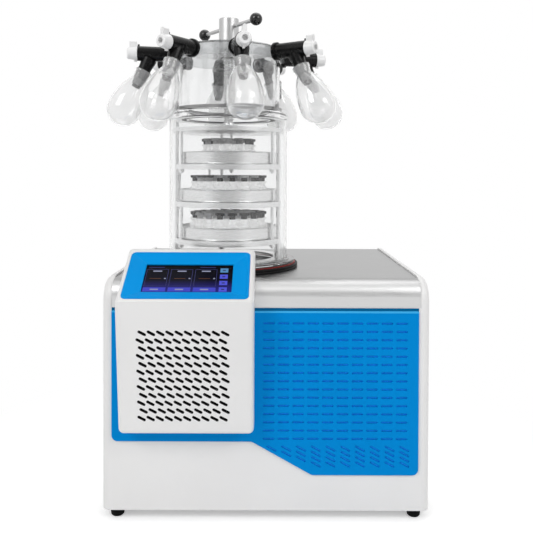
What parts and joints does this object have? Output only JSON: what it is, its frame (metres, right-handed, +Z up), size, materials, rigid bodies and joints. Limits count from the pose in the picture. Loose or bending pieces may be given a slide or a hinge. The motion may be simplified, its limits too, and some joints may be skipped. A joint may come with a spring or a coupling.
{
  "type": "freeze dryer",
  "caption": "Benchtop freeze dryer: blue and white cabinet with a tilted touch screen, clear drying chamber with stoppering trays, and a top manifold carrying flasks.",
  "frame": {"origin": "centre of the whole object's footprint, on the surface that it stands on", "axes": "+Z up, -Y towards the front of the cabinet, +X to the right of someone who faces it"},
  "size_m": [0.6248, 0.59, 0.9564],
  "materials": {
    "white_moulding": "satin",
    "steel_sheet": "satin",
    "stainless": "brushed",
    "blue_panel": "satin",
    "filter_mat": "matt",
    "black_rubber": "matt",
    "red_seal": "matt",
    "screen": "gloss",
    "copper_tube": "satin",
    "foam": "matt",
    "black_enamel": "semi-gloss",
    "black_plastic": "satin",
    "brass": "satin",
    "red_plastic": "satin",
    "clear_acrylic": "gloss",
    "frosted_glass": "ground",
    "clear_glass": "gloss",
    "white_plastic": "satin"
  },
  "bodies": {
    "cabinet": {"outer_wrap": "white_moulding", "base_pan": "steel_sheet", "rear_panel": "steel_sheet", "top_deck": "stainless", "louvre_panel": "blue_panel", "dust_filter": "filter_mat", "feet": "black_rubber", "console_housing": "white_moulding", "console_bezel": "blue_panel", "touch_screen": "screen", "cold_trap": "stainless", "evaporator_coil": "copper_tube", "trap_insulation": "foam", "compressor": "black_enamel", "condenser": "steel_sheet", "fan_shroud": "steel_sheet", "vacuum_port": "stainless", "drain_valve_body": "brass", "mains_inlet": "black_plastic", "deck_gasket": "black_rubber", "seal_ring": "red_seal", "base_ring": "clear_acrylic", "drying_chamber": "clear_acrylic", "flange_gasket": "black_rubber", "drum_flange": "clear_acrylic", "drum_collar": "stainless", "upper_drum": "clear_acrylic", "manifold_head": "clear_acrylic", "valve_bodies": "black_rubber", "flask_joints": "frosted_glass", "flasks": "clear_glass", "shelf_3": "stainless", "tray_3": "stainless", "vials_3": "clear_glass", "stoppers_3": "black_rubber", "rack_base": "stainless"},
    "press": {"press_plate": "stainless", "press_screw": "stainless"},
    "upper_shelf": {"shelf_1": "stainless", "tray_1": "stainless", "vials_1": "clear_glass", "stoppers_1": "black_rubber"},
    "middle_shelf": {"shelf_2": "stainless", "tray_2": "stainless", "vials_2": "clear_glass", "stoppers_2": "black_rubber"},
    "press_handle": {"press_hub": "stainless", "ball_knobs": "black_plastic"},
    "fan": {"fan_blades": "black_plastic"},
    "drain_lever": {"drain_valve_lever": "red_plastic"},
    "rocker": {"power_rocker": "black_plastic"},
    "plug_1": {"valve_plug_1": "white_plastic"},
    "plug_2": {"valve_plug_2": "white_plastic"},
    "plug_3": {"valve_plug_3": "white_plastic"},
    "plug_4": {"valve_plug_4": "white_plastic"},
    "plug_5": {"valve_plug_5": "white_plastic"},
    "plug_6": {"valve_plug_6": "white_plastic"},
    "plug_7": {"valve_plug_7": "white_plastic"},
    "plug_8": {"valve_plug_8": "white_plastic"}
  },
  "joints": [
    {"name": "press_handle_turn", "type": "hinge", "parent": "cabinet", "child": "press_handle", "pos_m": [-0.0686, -0.04, 0.92], "axis": [0, 0, -1], "range_deg": [0, 2070.2]},
    {"name": "press_travel", "type": "slide", "parent": "cabinet", "child": "press", "axis": [0, 0, -1], "range_m": [0, 0.0345]},
    {"name": "upper_shelf_travel", "type": "slide", "parent": "cabinet", "child": "upper_shelf", "axis": [0, 0, -1], "range_m": [0, 0.02301]},
    {"name": "middle_shelf_travel", "type": "slide", "parent": "cabinet", "child": "middle_shelf", "axis": [0, 0, -1], "range_m": [0, 0.01151]},
    {"name": "fan_spin", "type": "hinge", "parent": "cabinet", "child": "fan", "pos_m": [0.2004, -0.148, 0.23], "axis": [0, 1, 0], "continuous": true},
    {"name": "drain_lever_turn", "type": "hinge", "parent": "cabinet", "child": "drain_lever", "pos_m": [0.2374, 0.268, 0.0703], "axis": [0, 0, -1], "range_deg": [0, 90]},
    {"name": "power_rocker_tilt", "type": "hinge", "parent": "cabinet", "child": "rocker", "pos_m": [0.2464, 0.255, 0.19], "axis": [1, 0, 0], "range_deg": [0, 20]},
    {"name": "plug_1_turn", "type": "hinge", "parent": "cabinet", "child": "plug_1", "pos_m": [-0.03048, -0.22409, 0.877], "axis": [0.2028, -0.9792, 0], "range_deg": [0, 180]},
    {"name": "plug_2_turn", "type": "hinge", "parent": "cabinet", "child": "plug_2", "pos_m": [0.08853, -0.14322, 0.877], "axis": [0.8358, -0.549, 0], "range_deg": [0, 180]},
    {"name": "plug_3_turn", "type": "hinge", "parent": "cabinet", "child": "plug_3", "pos_m": [0.11549, -0.00188, 0.877], "axis": [0.9792, 0.2028, 0], "range_deg": [0, 180]},
    {"name": "plug_4_turn", "type": "hinge", "parent": "cabinet", "child": "plug_4", "pos_m": [0.03462, 0.11713, 0.877], "axis": [0.549, 0.8358, 0], "range_deg": [0, 180]},
    {"name": "plug_5_turn", "type": "hinge", "parent": "cabinet", "child": "plug_5", "pos_m": [-0.10672, 0.14409, 0.877], "axis": [-0.2028, 0.9792, 0], "range_deg": [0, 180]},
    {"name": "plug_6_turn", "type": "hinge", "parent": "cabinet", "child": "plug_6", "pos_m": [-0.22573, 0.06322, 0.877], "axis": [-0.8358, 0.549, 0], "range_deg": [0, 180]},
    {"name": "plug_7_turn", "type": "hinge", "parent": "cabinet", "child": "plug_7", "pos_m": [-0.25269, -0.07812, 0.877], "axis": [-0.9792, -0.2028, 0], "range_deg": [0, 180]},
    {"name": "plug_8_turn", "type": "hinge", "parent": "cabinet", "child": "plug_8", "pos_m": [-0.17182, -0.19713, 0.877], "axis": [-0.549, -0.8358, 0], "range_deg": [0, 180]}
  ],
  "couplings": [
    {"joint": "press_handle_turn", "follows": "press_travel", "rad_per_m": 1047.2},
    {"joint": "upper_shelf_travel", "follows": "press_travel", "ratio": 0.66667},
    {"joint": "middle_shelf_travel", "follows": "press_travel", "ratio": 0.33333}
  ]
}
